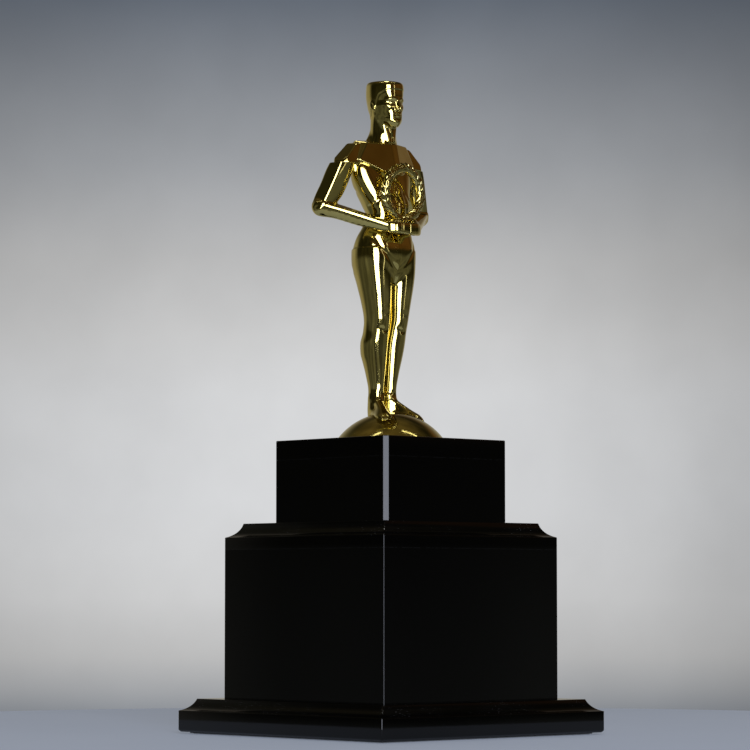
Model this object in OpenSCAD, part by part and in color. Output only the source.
// Figure trophy: a standing figure holding a wreath, on a domed mount,
// bolted down through a three-tier pedestal of lacquered boards.
// The figure faces -Y. The origin is the centre of the underside.

/* [Plinth] */
// Side of the square plinth board
plinth_side = 138; // [124:1:170]
// Thickness of the plinth board
plinth_t = 15; // [13:0.5:24]
// Thickness of the felt under the plinth
felt_t = 1; // [0.5:0.25:3]
// How far the felt stops short of the plinth's edge
felt_inset = 4; // [2:0.5:12]

/* [Pedestal box] */
// Side of the square pedestal
pedestal_side = 108; // [96:1:120]
// Height of the pedestal, top board included
pedestal_h = 80; // [60:1:110]
// Thickness of the pedestal's top board
pedestal_top_t = 12; // [10:0.5:18]

/* [Riser box] */
// Side of the square riser
riser_side = 76; // [68:1:88]
// Height of the riser, top board included
riser_h = 38; // [32:1:60]
// Thickness of the riser's top board
riser_top_t = 9; // [7:0.5:12]
// Width of the flat chamfer on the riser's upright corners
riser_chamfer = 1.7; // [0.5:0.1:3]

/* [Boards and moulding] */
// Thickness of the mitred side panels
panel_t = 9; // [6:0.5:12]
// Radius of the concave moulding
cove_r = 8.5; // [7:0.5:14]
// How far the moulding runs in over the top face
cove_w = 6; // [3:0.5:7]
// How far the moulding runs down the pedestal's sides
pedestal_cove_h = 6.4; // [3:0.2:8]
// How far the moulding runs down the plinth's sides
plinth_cove_h = 5.4; // [3:0.2:7]
// Small break on the boards' other edges
edge_break = 0.6; // [0.2:0.1:1.5]
// Side of the glue blocks in the pedestal's corners
pedestal_block = 14; // [12:1:20]
// Side of the glue blocks in the riser's corners
riser_block = 12; // [10:1:16]

/* [Fastenings] */
// Thread diameter of the clamping rod
rod_d = 6; // [5:1:8]
// Clearance around the rod where it passes through a board
rod_clearance = 0.4; // [0.2:0.1:1]
// Width of the clamping nut across its flats
nut_flats = 10; // [8:0.5:13]
// Height of the clamping nut
nut_h = 5; // [4:0.5:6.5]
// Outside diameter of the wide washer
washer_d = 18; // [14:1:24]
// Thickness of the wide washer
washer_t = 1.6; // [1:0.1:2]
// Depth of the recess that hides the nut
nut_recess = 8.5; // [8:0.5:11]
// Shank diameter of the wood screws
screw_d = 3.5; // [3:0.5:4]
// Head diameter of the wood screws
screw_head_d = 7; // [6:0.5:8]
// How far a wood screw reaches into its glue block
screw_bite = 16; // [8:1:20]

/* [Domed mount] */
// Diameter of the domed mount at its foot
dome_d = 50; // [44:1:60]
// Height of the domed mount
dome_h = 13; // [11:0.5:16]
// Wall of the hollow mount
dome_wall = 3.2; // [2.5:0.1:4]

/* [Figure] */
// Height of the figure from its soles to the crown
figure_h = 156; // [140:1:190]
// Half the angle between the feet
foot_splay = 25; // [8:1:30]
// Width of the wreath
wreath_w = 26; // [24:0.5:28]
// Height of the wreath
wreath_h = 29; // [27:0.5:31]
// Width of the wreath's band of leaves
wreath_band = 5; // [4:0.2:6]
// Thickness of the wreath
wreath_t = 4; // [3.4:0.2:4.4]

/* [Hidden] */

round_fn = 64;
slice_fn = 28;
bead_fn = 16;
sliver = 0.02;         // thickness of one slice in a lofted chain
past = 1;              // how far a cutter runs past the face it cuts
fit_gap = 0.1;         // gap all round a peg or screw in its hole
seat_gap = 0.05;       // gap where two castings are fitted to each other

// Heights of the tiers
plinth_z = felt_t;
pedestal_z = plinth_z + plinth_t;
riser_z = pedestal_z + pedestal_h;
dome_z = riser_z + riser_h;
sole_drop = 2.4;       // soles start this far under the dome's top, and are cut to its curve
stand_z = dome_z + dome_h - sole_drop;

// Places of the glue blocks and the screws into them
pedestal_screw_at = pedestal_side / 2 - panel_t - pedestal_block / 2;
riser_screw_at = riser_side / 2 - panel_t - riser_block / 2;
block_top_gap = 6;     // glue blocks stop this far under the board above
rod_hole_r = rod_d / 2 + rod_clearance;
nut_recess_r = washer_d / 2 + 1;

// The rod runs from under the nut into the mount's boss
boss_r = rod_d / 2 + 2;
boss_depth = dome_h - dome_wall;
rod_bottom = plinth_z + nut_recess - washer_t - nut_h - 0.8;
rod_top = dome_z + boss_depth - 0.8;

// Everything on the figure is laid out at this height and scaled as one casting
figure_model_h = 156;
figure_scale = figure_h / figure_model_h;

// Screws up through the mount into the ankles
sole_screw_d = 2.5;
sole_screw_head_d = 4.5;
sole_screw_head_h = 1.8;
sole_screw_bite = 7;
sole_screw_at = [5.2, 5.4] * figure_scale;

// ---------------------------------------------------------------- boards

// Concave cut along one long edge of a board: the circle passes through the
// point run_in from the edge on the top face and run_down below it on the side.
function cove_centre(run_in, run_down) =
    let (
        chord = norm([run_in, run_down]),
        lift = sqrt(pow(cove_r, 2) - pow(chord / 2, 2)),
        middle = [-run_in / 2, -run_down / 2],
        outward = [run_down, run_in] / chord
    ) middle + lift * outward;

// Board's cross-section: flat bottom at y = 0, moulded top edges
module cove_section(side, t, run_down) {
    centre = cove_centre(cove_w, run_down);
    difference() {
        translate([-side / 2, 0]) square([side, t]);
        for (flip = [0, 1])
            mirror([flip, 0])
                translate([side / 2 + centre.x, t + centre.y]) circle(cove_r, $fn = round_fn);
    }
}

module cove_board(side, t, run_down) {
    intersection() {
        rotate([90, 0, 0]) linear_extrude(side + past, center = true) cove_section(side, t, run_down);
        rotate([90, 0, 90]) linear_extrude(side + past, center = true) cove_section(side, t, run_down);
    }
}

// Square outline with flat chamfers on its corners
module chamfered_square(side, chamfer) {
    h = side / 2;
    c = chamfer;
    polygon([
        [h - c, -h], [h, c - h], [h, h - c], [h - c, h],
        [c - h, h], [-h, h - c], [-h, c - h], [c - h, -h]
    ]);
}

// One of four mitred panels round a square box; turn 0 is the front one
module mitred_panel(side, height, chamfer, turn) {
    inner = side / 2 - panel_t;
    rotate([0, 0, turn])
        linear_extrude(height)
            intersection() {
                chamfered_square(side, chamfer);
                polygon([[-inner, -inner], [inner, -inner], [side, -side], [-side, -side]]);
            }
}

module corner_blocks(side, block, height) {
    at = side / 2 - panel_t - block;
    for (turn = [0 : 90 : 270])
        rotate([0, 0, turn])
            translate([at, at, 0]) cube([block, block, height]);
}

module at_corners(at) {
    for (x = [-at, at], y = [-at, at]) translate([x, y, 0]) children();
}

// Countersunk wood screw, head down at z = 0, grown by gap for its hole
module wood_screw(reach, gap = 0) {
    head_r = screw_head_d / 2 + gap;
    shank_r = screw_d / 2 + gap;
    cone_h = (screw_head_d - screw_d) / 2;
    tip_h = gap > 0 ? 0 : screw_d;
    cylinder(h = cone_h, r1 = head_r, r2 = shank_r, $fn = round_fn);
    cylinder(h = reach - tip_h, r = shank_r, $fn = round_fn);
    if (tip_h > 0)
        translate([0, 0, reach - tip_h])
            cylinder(h = tip_h, r1 = shank_r, r2 = 0.4, $fn = round_fn);
}

module felt_pad() {
    side = plinth_side - 2 * felt_inset;
    color("darkgreen")
        linear_extrude(felt_t) chamfered_square(side, 2);
}

module plinth() {
    color("#0b0b0c")
        translate([0, 0, plinth_z])
            difference() {
                cove_board(plinth_side, plinth_t, plinth_cove_h);
                translate([0, 0, -past]) cylinder(h = plinth_t + 2 * past, r = rod_hole_r, $fn = round_fn);
                translate([0, 0, -past]) cylinder(h = nut_recess + past, r = nut_recess_r, $fn = round_fn);
                at_corners(pedestal_screw_at) wood_screw(plinth_t + past, fit_gap);
            }
}

module plinth_screws() {
    color("silver")
        translate([0, 0, plinth_z])
            at_corners(pedestal_screw_at) wood_screw(plinth_t + screw_bite);
}

module pedestal_panel(turn) {
    color("#0b0b0c")
        translate([0, 0, pedestal_z])
            mitred_panel(pedestal_side, pedestal_h - pedestal_top_t, edge_break, turn);
}

module pedestal_front() { pedestal_panel(0); }
module pedestal_right() { pedestal_panel(90); }
module pedestal_back() { pedestal_panel(180); }
module pedestal_left() { pedestal_panel(270); }

module pedestal_corner_blocks() {
    height = pedestal_h - pedestal_top_t - block_top_gap;
    color("burlywood")
        translate([0, 0, pedestal_z])
            difference() {
                corner_blocks(pedestal_side, pedestal_block, height);
                translate([0, 0, -plinth_t])
                    at_corners(pedestal_screw_at) wood_screw(plinth_t + screw_bite + fit_gap, fit_gap);
            }
}

module pedestal_top() {
    color("#0b0b0c")
        translate([0, 0, riser_z - pedestal_top_t])
            difference() {
                cove_board(pedestal_side, pedestal_top_t, pedestal_cove_h);
                translate([0, 0, -past])
                    cylinder(h = pedestal_top_t + 2 * past, r = rod_hole_r, $fn = round_fn);
                at_corners(riser_screw_at) wood_screw(pedestal_top_t + past, fit_gap);
            }
}

module riser_panel(turn) {
    color("#0b0b0c")
        translate([0, 0, riser_z])
            mitred_panel(riser_side, riser_h - riser_top_t, riser_chamfer, turn);
}

module riser_front() { riser_panel(0); }
module riser_right() { riser_panel(90); }
module riser_back() { riser_panel(180); }
module riser_left() { riser_panel(270); }

module riser_corner_blocks() {
    height = riser_h - riser_top_t - block_top_gap;
    color("burlywood")
        translate([0, 0, riser_z])
            difference() {
                corner_blocks(riser_side, riser_block, height);
                translate([0, 0, -pedestal_top_t])
                    at_corners(riser_screw_at) wood_screw(pedestal_top_t + screw_bite + fit_gap, fit_gap);
            }
}

module riser_screws() {
    color("silver")
        translate([0, 0, riser_z - pedestal_top_t])
            at_corners(riser_screw_at) wood_screw(pedestal_top_t + screw_bite);
}

// Section of the riser's top board, its upper edges broken
module broken_section(side, t) {
    h = side / 2;
    c = edge_break;
    polygon([[-h, 0], [h, 0], [h, t - c], [h - c, t], [c - h, t], [-h, t - c]]);
}

module riser_top() {
    color("#0b0b0c")
        translate([0, 0, dome_z - riser_top_t])
            difference() {
                intersection() {
                    linear_extrude(riser_top_t) chamfered_square(riser_side, riser_chamfer);
                    rotate([90, 0, 0]) linear_extrude(riser_side, center = true) broken_section(riser_side, riser_top_t);
                    rotate([90, 0, 90]) linear_extrude(riser_side, center = true) broken_section(riser_side, riser_top_t);
                }
                translate([0, 0, -past])
                    cylinder(h = riser_top_t + 2 * past, r = rod_hole_r, $fn = round_fn);
            }
}

// ------------------------------------------------------- clamping hardware

module threaded_rod() {
    r = rod_d / 2;
    lead = 0.8;
    color("silver")
        rotate_extrude($fn = round_fn)
            polygon([
                [0, rod_bottom], [r - lead, rod_bottom], [r, rod_bottom + lead],
                [r, rod_top - lead], [r - lead, rod_top], [0, rod_top]
            ]);
}

module clamp_washer() {
    color("silver")
        translate([0, 0, plinth_z + nut_recess - washer_t])
            difference() {
                cylinder(h = washer_t, d = washer_d, $fn = round_fn);
                translate([0, 0, -past]) cylinder(h = washer_t + 2 * past, r = rod_hole_r, $fn = round_fn);
            }
}

module clamp_nut() {
    color("silver")
        translate([0, 0, plinth_z + nut_recess - washer_t - nut_h])
            difference() {
                cylinder(h = nut_h, r = nut_flats / 2 / cos(30), $fn = 6);
                translate([0, 0, -past])
                    cylinder(h = nut_h + 2 * past, r = rod_d / 2 + seat_gap, $fn = round_fn);
            }
}

// ------------------------------------------------------------- domed mount

// The mount is a cap of this sphere
dome_r = (pow(dome_d / 2, 2) + pow(dome_h, 2)) / (2 * dome_h);
dome_centre_z = dome_z + dome_h - dome_r;

// Height of a sphere about the dome's centre at a distance from the axis
function dome_height(r, reach) = dome_centre_z + sqrt(pow(r, 2) - pow(reach, 2));

module dome_ball(r) {
    translate([0, 0, dome_centre_z]) sphere(r = r, $fn = round_fn);
}

module dome_mount() {
    color("gold")
        difference() {
            intersection() {
                dome_ball(dome_r);
                translate([0, 0, dome_z]) cylinder(h = dome_h + past, r = dome_d, $fn = round_fn);
                union() {
                    difference() {
                        translate([0, 0, dome_z]) cylinder(h = dome_h + past, r = dome_d, $fn = round_fn);
                        dome_ball(dome_r - dome_wall);
                    }
                    translate([0, 0, dome_z]) cylinder(h = boss_depth + past, r = boss_r, $fn = round_fn);
                }
            }
            translate([0, 0, dome_z - past])
                cylinder(h = boss_depth + past, r = rod_d / 2 + seat_gap, $fn = round_fn);
            for (side = [-1, 1])
                translate([side * sole_screw_at.x, sole_screw_at.y, dome_z - past]) {
                    cylinder(h = dome_h + past, r = sole_screw_d / 2 + fit_gap, $fn = round_fn);
                    cylinder(h = sole_screw_seat - dome_z + past, r = sole_screw_head_d / 2 + fit_gap, $fn = round_fn);
                }
        }
}

// Height of the flat that the foot screws' heads pull up against
sole_screw_seat = dome_height(dome_r - dome_wall, norm(sole_screw_at) - sole_screw_head_d / 2);

// Pan-head screws that hold the soles down on the dome
module foot_screws() {
    under = sole_screw_seat - seat_gap;
    tip = dome_height(dome_r, norm(sole_screw_at)) + sole_screw_bite;
    color("silver")
        for (side = [-1, 1])
            translate([side * sole_screw_at.x, sole_screw_at.y, 0]) {
                translate([0, 0, under - sole_screw_head_h])
                    cylinder(h = sole_screw_head_h, d = sole_screw_head_d, $fn = round_fn);
                translate([0, 0, under - sole_screw_head_h])
                    cylinder(h = tip - under + sole_screw_head_h, d = sole_screw_d, $fn = round_fn);
            }
}

// ------------------------------------------------------------------ figure

// Smooth value between four stations of a chain (Catmull-Rom)
function blend4(a, b, c, d, t) =
    b + (c - a) * t / 2
    + (2 * a - 5 * b + 4 * c - d) * t * t / 2
    + (3 * b - a - 3 * c + d) * t * t * t / 2;

function smooth_chain(s, parts) =
    let (last = len(s) - 1)
    concat(
        [for (i = [0 : last - 1], k = [0 : parts - 1])
            blend4(s[max(i - 1, 0)], s[i], s[i + 1], s[min(i + 2, last)], k / parts)],
        [s[last]]
    );

// Closed outline that runs from a lozenge (power 1) to an oval (2) to a box (above 2),
// with its own depth and power in front (-Y) and behind
function body_outline(half_w, front, back, front_power, back_power) = [
    for (i = [0 : slice_fn - 1])
        let (
            a = 360 * i / slice_fn,
            power = 2 / (sin(a) < 0 ? front_power : back_power),
            depth = sin(a) < 0 ? front : back
        )
        [half_w * sign(cos(a)) * pow(abs(cos(a)), power), depth * sign(sin(a)) * pow(abs(sin(a)), power)]
];

// A station is [z, x, y, half width, front, back, front power, back power]
module body_slice(s) {
    translate([s[1], s[2], s[0]])
        linear_extrude(sliver) polygon(body_outline(s[3], s[4], s[5], s[6], s[7]));
}

module body_chain(stations, parts) {
    s = smooth_chain(stations, parts);
    for (i = [0 : len(s) - 2]) hull() {
        body_slice(s[i]);
        body_slice(s[i + 1]);
    }
}

// A bead is [x, y, z, radius]
module bead(b) {
    translate([b[0], b[1], b[2]]) sphere(r = b[3], $fn = bead_fn);
}

module bead_chain(beads, parts) {
    b = smooth_chain(beads, parts);
    for (i = [0 : len(b) - 2]) hull() {
        bead(b[i]);
        bead(b[i + 1]);
    }
}

module bead_hull(beads) {
    hull() for (b = beads) bead(b);
}

module both_sides() {
    children();
    mirror([1, 0, 0]) children();
}

// Heights in these stations are measured from the soles
trunk_stations = [
    [64, 0, 3.6, 10.5, 6.5, 9, 2.2, 2.4],
    [71, 0, 4, 14.6, 9.6, 11.4, 2.2, 2.4],
    [77, 0, 4.2, 15.8, 11, 11.6, 2.2, 2.4],
    [84, 0, 3.8, 14.4, 10, 10, 2.2, 2.3],
    [89, 0, 3.6, 12.2, 9, 8.8, 2.1, 2.2],
    [94, 0, 3.8, 10.4, 7.8, 7.6, 2, 2.2],
    [99, 0, 4.2, 12.6, 8.2, 8.6, 1.8, 2.2],
    [105, 0, 4.8, 16.4, 9.2, 9.8, 1.7, 2.3],
    [111, 0, 5.2, 18.4, 9.8, 10.2, 1.6, 2.4],
    [116, 0, 5.4, 19.2, 10.4, 10.2, 1.5, 2.4],
    [120, 0, 5.6, 19.4, 11.4, 10, 1.4, 2.4],
    [124.5, 0, 5.6, 18, 10.6, 9, 1.5, 2.4],
    [128, 0, 5.4, 12, 7.4, 7.6, 1.8, 2.2],
    [130.5, 0, 5.2, 7.2, 6.2, 6.8, 2, 2],
    [134, 0, 4.8, 6.2, 5.8, 6.4, 2, 2],
    [139, 0, 4.2, 6.1, 5.8, 6.6, 2, 2]
];

head_stations = [
    [134.6, 0, -0.6, 2.2, 2.2, 2.6, 2, 2],
    [136.4, 0, 1.4, 4.6, 6, 5.4, 2, 2],
    [140, 0, 2.8, 6.4, 8.6, 8, 2, 2.1],
    [145, 0, 3.4, 7.3, 9.2, 9.2, 2.1, 2.2],
    [150, 0, 3.4, 7.6, 8.8, 9.6, 2.2, 2.2],
    [153.4, 0, 3.4, 6.8, 8, 8.6, 2.2, 2.2],
    [155.4, 0, 3.4, 4.6, 5.8, 6.2, 2.1, 2.1],
    [156, 0, 3.4, 1.4, 2.2, 2.4, 2, 2]
];

leg_stations = [
    [8, 4.1, 5.2, 3.4, 4, 4.4, 2, 2],
    [13, 3.9, 5.4, 3.2, 3.8, 4.4, 2.1, 2],
    [20, 4.2, 5.6, 4, 4.6, 5.4, 2.2, 2],
    [28, 4.9, 5.4, 5, 5.4, 7, 2.3, 2],
    [35, 5.3, 4.8, 5.4, 5.8, 7.2, 2.4, 2],
    [41, 5.4, 3.9, 5.1, 6, 6, 2.4, 2.1],
    [46, 5.6, 3.3, 5.2, 6.2, 6, 2.4, 2.1],
    [54, 6.2, 3.2, 6, 7.2, 7.2, 2.4, 2.2],
    [62, 6.9, 3.4, 7, 8.6, 8.8, 2.4, 2.2],
    [70, 7.4, 3.8, 7.8, 9.4, 10.6, 2.3, 2.3],
    [78, 7.6, 4.2, 7.6, 9, 10.4, 2.2, 2.3]
];

// Foot along +X before it is turned: beads from heel to toe, [x, y, z, radius]
heel_beads = [[-3.6, 0, 2.4, 2.6], [0.6, 0, 6, 3.4], [0, 0, 10, 3.2]];
foot_beads = [[-3.4, 0, 2.2, 2.6], [2, 0, 3.4, 3.3], [7.4, 0.2, 2.2, 3.1], [12.2, 0.3, 0.9, 3], [15.2, 0.4, -0.1, 2.2]];

shoulder_beads = [
    [9, 4, 125.6, 1], [9, 10, 126, 1], [15.6, 3, 124.8, 1], [15.6, 12, 125, 1],
    [24.2, 4.6, 117.4, 0.8], [24.2, 12, 117.4, 0.8], [22, 2.4, 117.4, 0.8],
    [15, -1, 117.4, 0.8], [15, 14, 117.4, 0.8]
];

module foot() {
    translate([4.1, 5, 0])
        rotate([0, 0, foot_splay - 90]) {
            bead_chain(foot_beads, 2);
            bead_chain(heel_beads, 1);
        }
}

module figure_casting() {
    body_chain(trunk_stations, 2);
    body_chain(head_stations, 2);
    both_sides() {
        body_chain(leg_stations, 2);
        foot();
        bead_hull(shoulder_beads);
    }
}

// Arm peg under the shoulder cap and the arm that hangs from it
peg_r = 2.2;
peg_h = 4;
peg_at = [21.4, 8.2];
cap_z = 116.4;

arm_beads = [
    [21.8, 9.2, 112, 5.5], [26.2, 11, 105, 5.3], [29.6, 12.2, 99.6, 4.7], [31.2, 12.6, 96, 4.2],
    [26, 8, 94.4, 4.3], [18.6, 1.6, 91.6, 4], [12.4, -4, 89, 3.2], [8.4, -7.4, 87.8, 2.9]
];
palm_beads = [[7.6, -8, 87.6, 3], [4.2, -8.6, 86.8, 3], [4.6, -11, 87.6, 1.8], [7.4, -10.8, 88.4, 1.8]];
finger_rows = 4;
finger_r = 1;

module arm_shape() {
    intersection() {
        union() {
            bead_chain(arm_beads, 3);
            hull() {
                bead(arm_beads[0]);
                translate([0, 0, 5]) bead(arm_beads[0]);
            }
            bead_hull(palm_beads);
            for (i = [0 : finger_rows - 1])
                bead_hull([[8 - 1.9 * i, -11.4, 85.8, finger_r], [7.6 - 1.9 * i, -11.4, 89.4, finger_r * 0.9]]);
        }
        translate([0.3, -60, 0]) cube([60, 120, cap_z - seat_gap]);
    }
}

module arm_peg(gap) {
    translate([peg_at.x, peg_at.y, cap_z - past])
        cylinder(h = peg_h + past + gap, r = peg_r + gap, $fn = slice_fn);
}

// Wreath: two branches of leaves that rise from the hands and meet at the top
wreath_y = -8.6;
wreath_z = 102.6;
ring_w = (wreath_w - wreath_band) / 2;
ring_h = (wreath_h - wreath_band) / 2;
leaf_steps = 11;
leaf_l = 6.4;
leaf_w = 2.7;

function ring_at(a) = [ring_w * sin(a), -ring_h * cos(a)];
function ring_heading(a) = atan2(ring_h * sin(a), ring_w * cos(a));

module ring_core(r, steps) {
    for (i = [0 : steps - 1]) hull() for (k = [0, 1])
        let (p = ring_at(360 * (i + k) / steps))
            translate([p.x, 0, p.y]) sphere(r = r, $fn = 8);
}

// A pointed leaf that lies along +X, ridged down the middle of both faces
module leaf(thick) {
    widest = leaf_l * 0.36;
    polyhedron(
        points = [
            [0, 0, 0], [leaf_l, 0, 0],
            [widest, leaf_w / 2, 0], [widest, -leaf_w / 2, 0],
            [widest, 0, thick / 2], [widest, 0, -thick / 2]
        ],
        faces = [[2, 4, 0], [1, 4, 2], [3, 4, 1], [0, 4, 3], [0, 5, 2], [2, 5, 1], [1, 5, 3], [3, 5, 0]]
    );
}

// One leaf on the band: row is its line across the band, face the side it lies on
module leaf_on_band(a, row, face, thick) {
    p = ring_at(a);
    heading = ring_heading(a);
    translate([p.x, face * wreath_t * 0.26, p.y])
        rotate([0, -heading, 0])
            translate([0, 0, row * (wreath_band / 2 - 1.5)])
                rotate([0, -row * 15, 0])
                    rotate([90, 0, -face * 5]) leaf(thick);
}

// Leaves along one branch: two in the band's middle plane, one over each face
module branch(start) {
    for (i = [0 : leaf_steps - 1]) {
        a = start + 164 * i / leaf_steps;
        half = 82 / leaf_steps;
        leaf_on_band(a, -1, 0, wreath_t * 0.7);
        leaf_on_band(a, 1, 0, wreath_t * 0.7);
        leaf_on_band(a + half, 0, -1, wreath_t * 0.5);
        leaf_on_band(a + half, 0, 1, wreath_t * 0.5);
    }
}

module wreath_shape() {
    translate([0, wreath_y, wreath_z]) {
        ring_core(1.7, 24);
        branch(5);
        mirror([1, 0, 0]) branch(8);
    }
}

// Room that the wreath takes, for the hands to close round it
module wreath_room() {
    translate([0, wreath_y, wreath_z])
        scale([1, (wreath_t / 2 + 0.5) / (wreath_band / 2 + 0.6), 1])
            ring_core(wreath_band / 2 + 0.6, 24);
}

// An arm, hollowed where its hand closes round the wreath
module arm_round_wreath() {
    difference() {
        arm_shape();
        wreath_room();
    }
}

module on_the_dome() {
    translate([0, 0, stand_z]) scale(figure_scale) children();
}

// Everything under the soles, with the seating gap
module dome_room() {
    n = 48;
    translate([0, 0, dome_centre_z]) sphere(r = (dome_r + seat_gap) / pow(cos(180 / n), 2), $fn = n);
}

module figure_body() {
    color("gold")
        difference() {
            on_the_dome() difference() {
                figure_casting();
                both_sides() arm_peg(fit_gap);
            }
            dome_room();
            for (side = [-1, 1])
                translate([side * sole_screw_at.x, sole_screw_at.y, dome_z])
                    cylinder(
                        h = dome_height(dome_r, norm(sole_screw_at)) - dome_z + sole_screw_bite + fit_gap,
                        r = sole_screw_d / 2 + fit_gap, $fn = slice_fn
                    );
        }
}

module arm() {
    color("gold")
        on_the_dome() {
            difference() {
                arm_round_wreath();
                figure_casting();
            }
            arm_peg(0);
        }
}

module left_arm() { arm(); }
module right_arm() { mirror([1, 0, 0]) arm(); }

// Leaf tips that press into the hands are cut flush with them
module wreath() {
    color("gold")
        on_the_dome()
            difference() {
                wreath_shape();
                both_sides() arm_round_wreath();
            }
}

felt_pad();
plinth();
plinth_screws();
pedestal_front();
pedestal_back();
pedestal_left();
pedestal_right();
pedestal_corner_blocks();
pedestal_top();
riser_front();
riser_back();
riser_left();
riser_right();
riser_corner_blocks();
riser_screws();
riser_top();
threaded_rod();
clamp_washer();
clamp_nut();
dome_mount();
foot_screws();
figure_body();
right_arm();
left_arm();
wreath();
